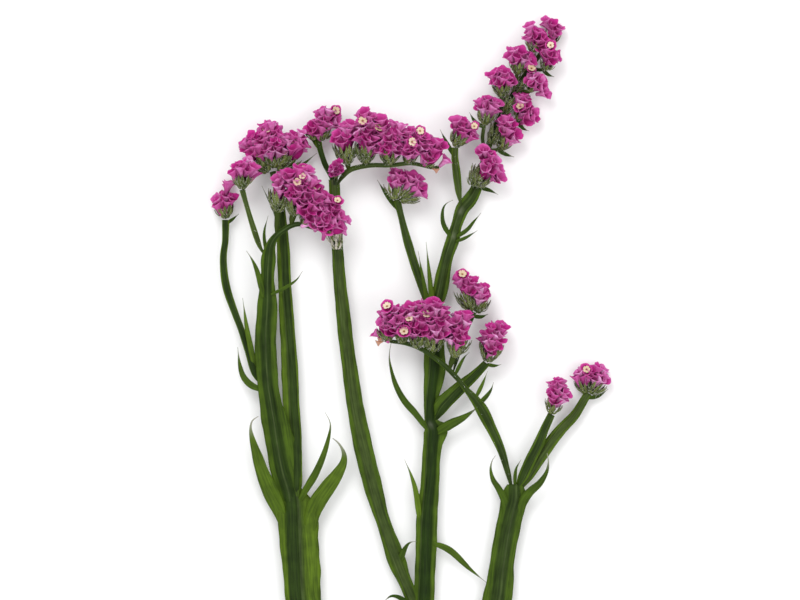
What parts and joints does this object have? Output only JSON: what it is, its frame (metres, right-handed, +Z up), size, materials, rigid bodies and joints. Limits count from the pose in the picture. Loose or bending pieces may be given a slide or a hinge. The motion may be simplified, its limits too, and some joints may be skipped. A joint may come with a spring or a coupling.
{
  "type": "dried statice stem",
  "caption": "Cut, many-branched stem of pink statice with winged green stems, strap leaves and heads of papery funnel florets, lying on its side.",
  "frame": {"origin": "centre of the part's footprint box, on the surface it lies on", "axes": "+Y along the stem from the cut end to the flowers, +X to the right as seen from above, +Z up from the surface"},
  "size_m": [0.2008, 0.4326, 0.034],
  "materials": {
    "statice_green": "matt, finely hairy",
    "statice_pink": "matt, papery"
  },
  "bodies": {
    "root": {"main_stem": "statice_green", "left_branch": "statice_green", "middle_branch": "statice_green", "centre_branch": "statice_green", "right_branch": "statice_green", "head_01_florets": "statice_pink", "head_02_florets": "statice_pink", "head_03_florets": "statice_pink", "head_05_florets": "statice_pink", "head_06_florets": "statice_pink", "head_07_florets": "statice_pink", "head_08_florets": "statice_pink", "head_09_florets": "statice_pink", "head_10_florets": "statice_pink", "head_11_florets": "statice_pink", "head_12_florets": "statice_pink", "head_13_florets": "statice_pink", "head_14_florets": "statice_pink", "head_15_florets": "statice_pink", "head_16_florets": "statice_pink", "head_17_florets": "statice_pink", "head_18_florets": "statice_pink", "head_19_florets": "statice_pink", "head_20_florets": "statice_pink", "head_21_florets": "statice_pink", "head_22_florets": "statice_pink", "head_23_florets": "statice_pink", "head_24_florets": "statice_pink", "head_25_florets": "statice_pink"}
  },
  "joints": []
}
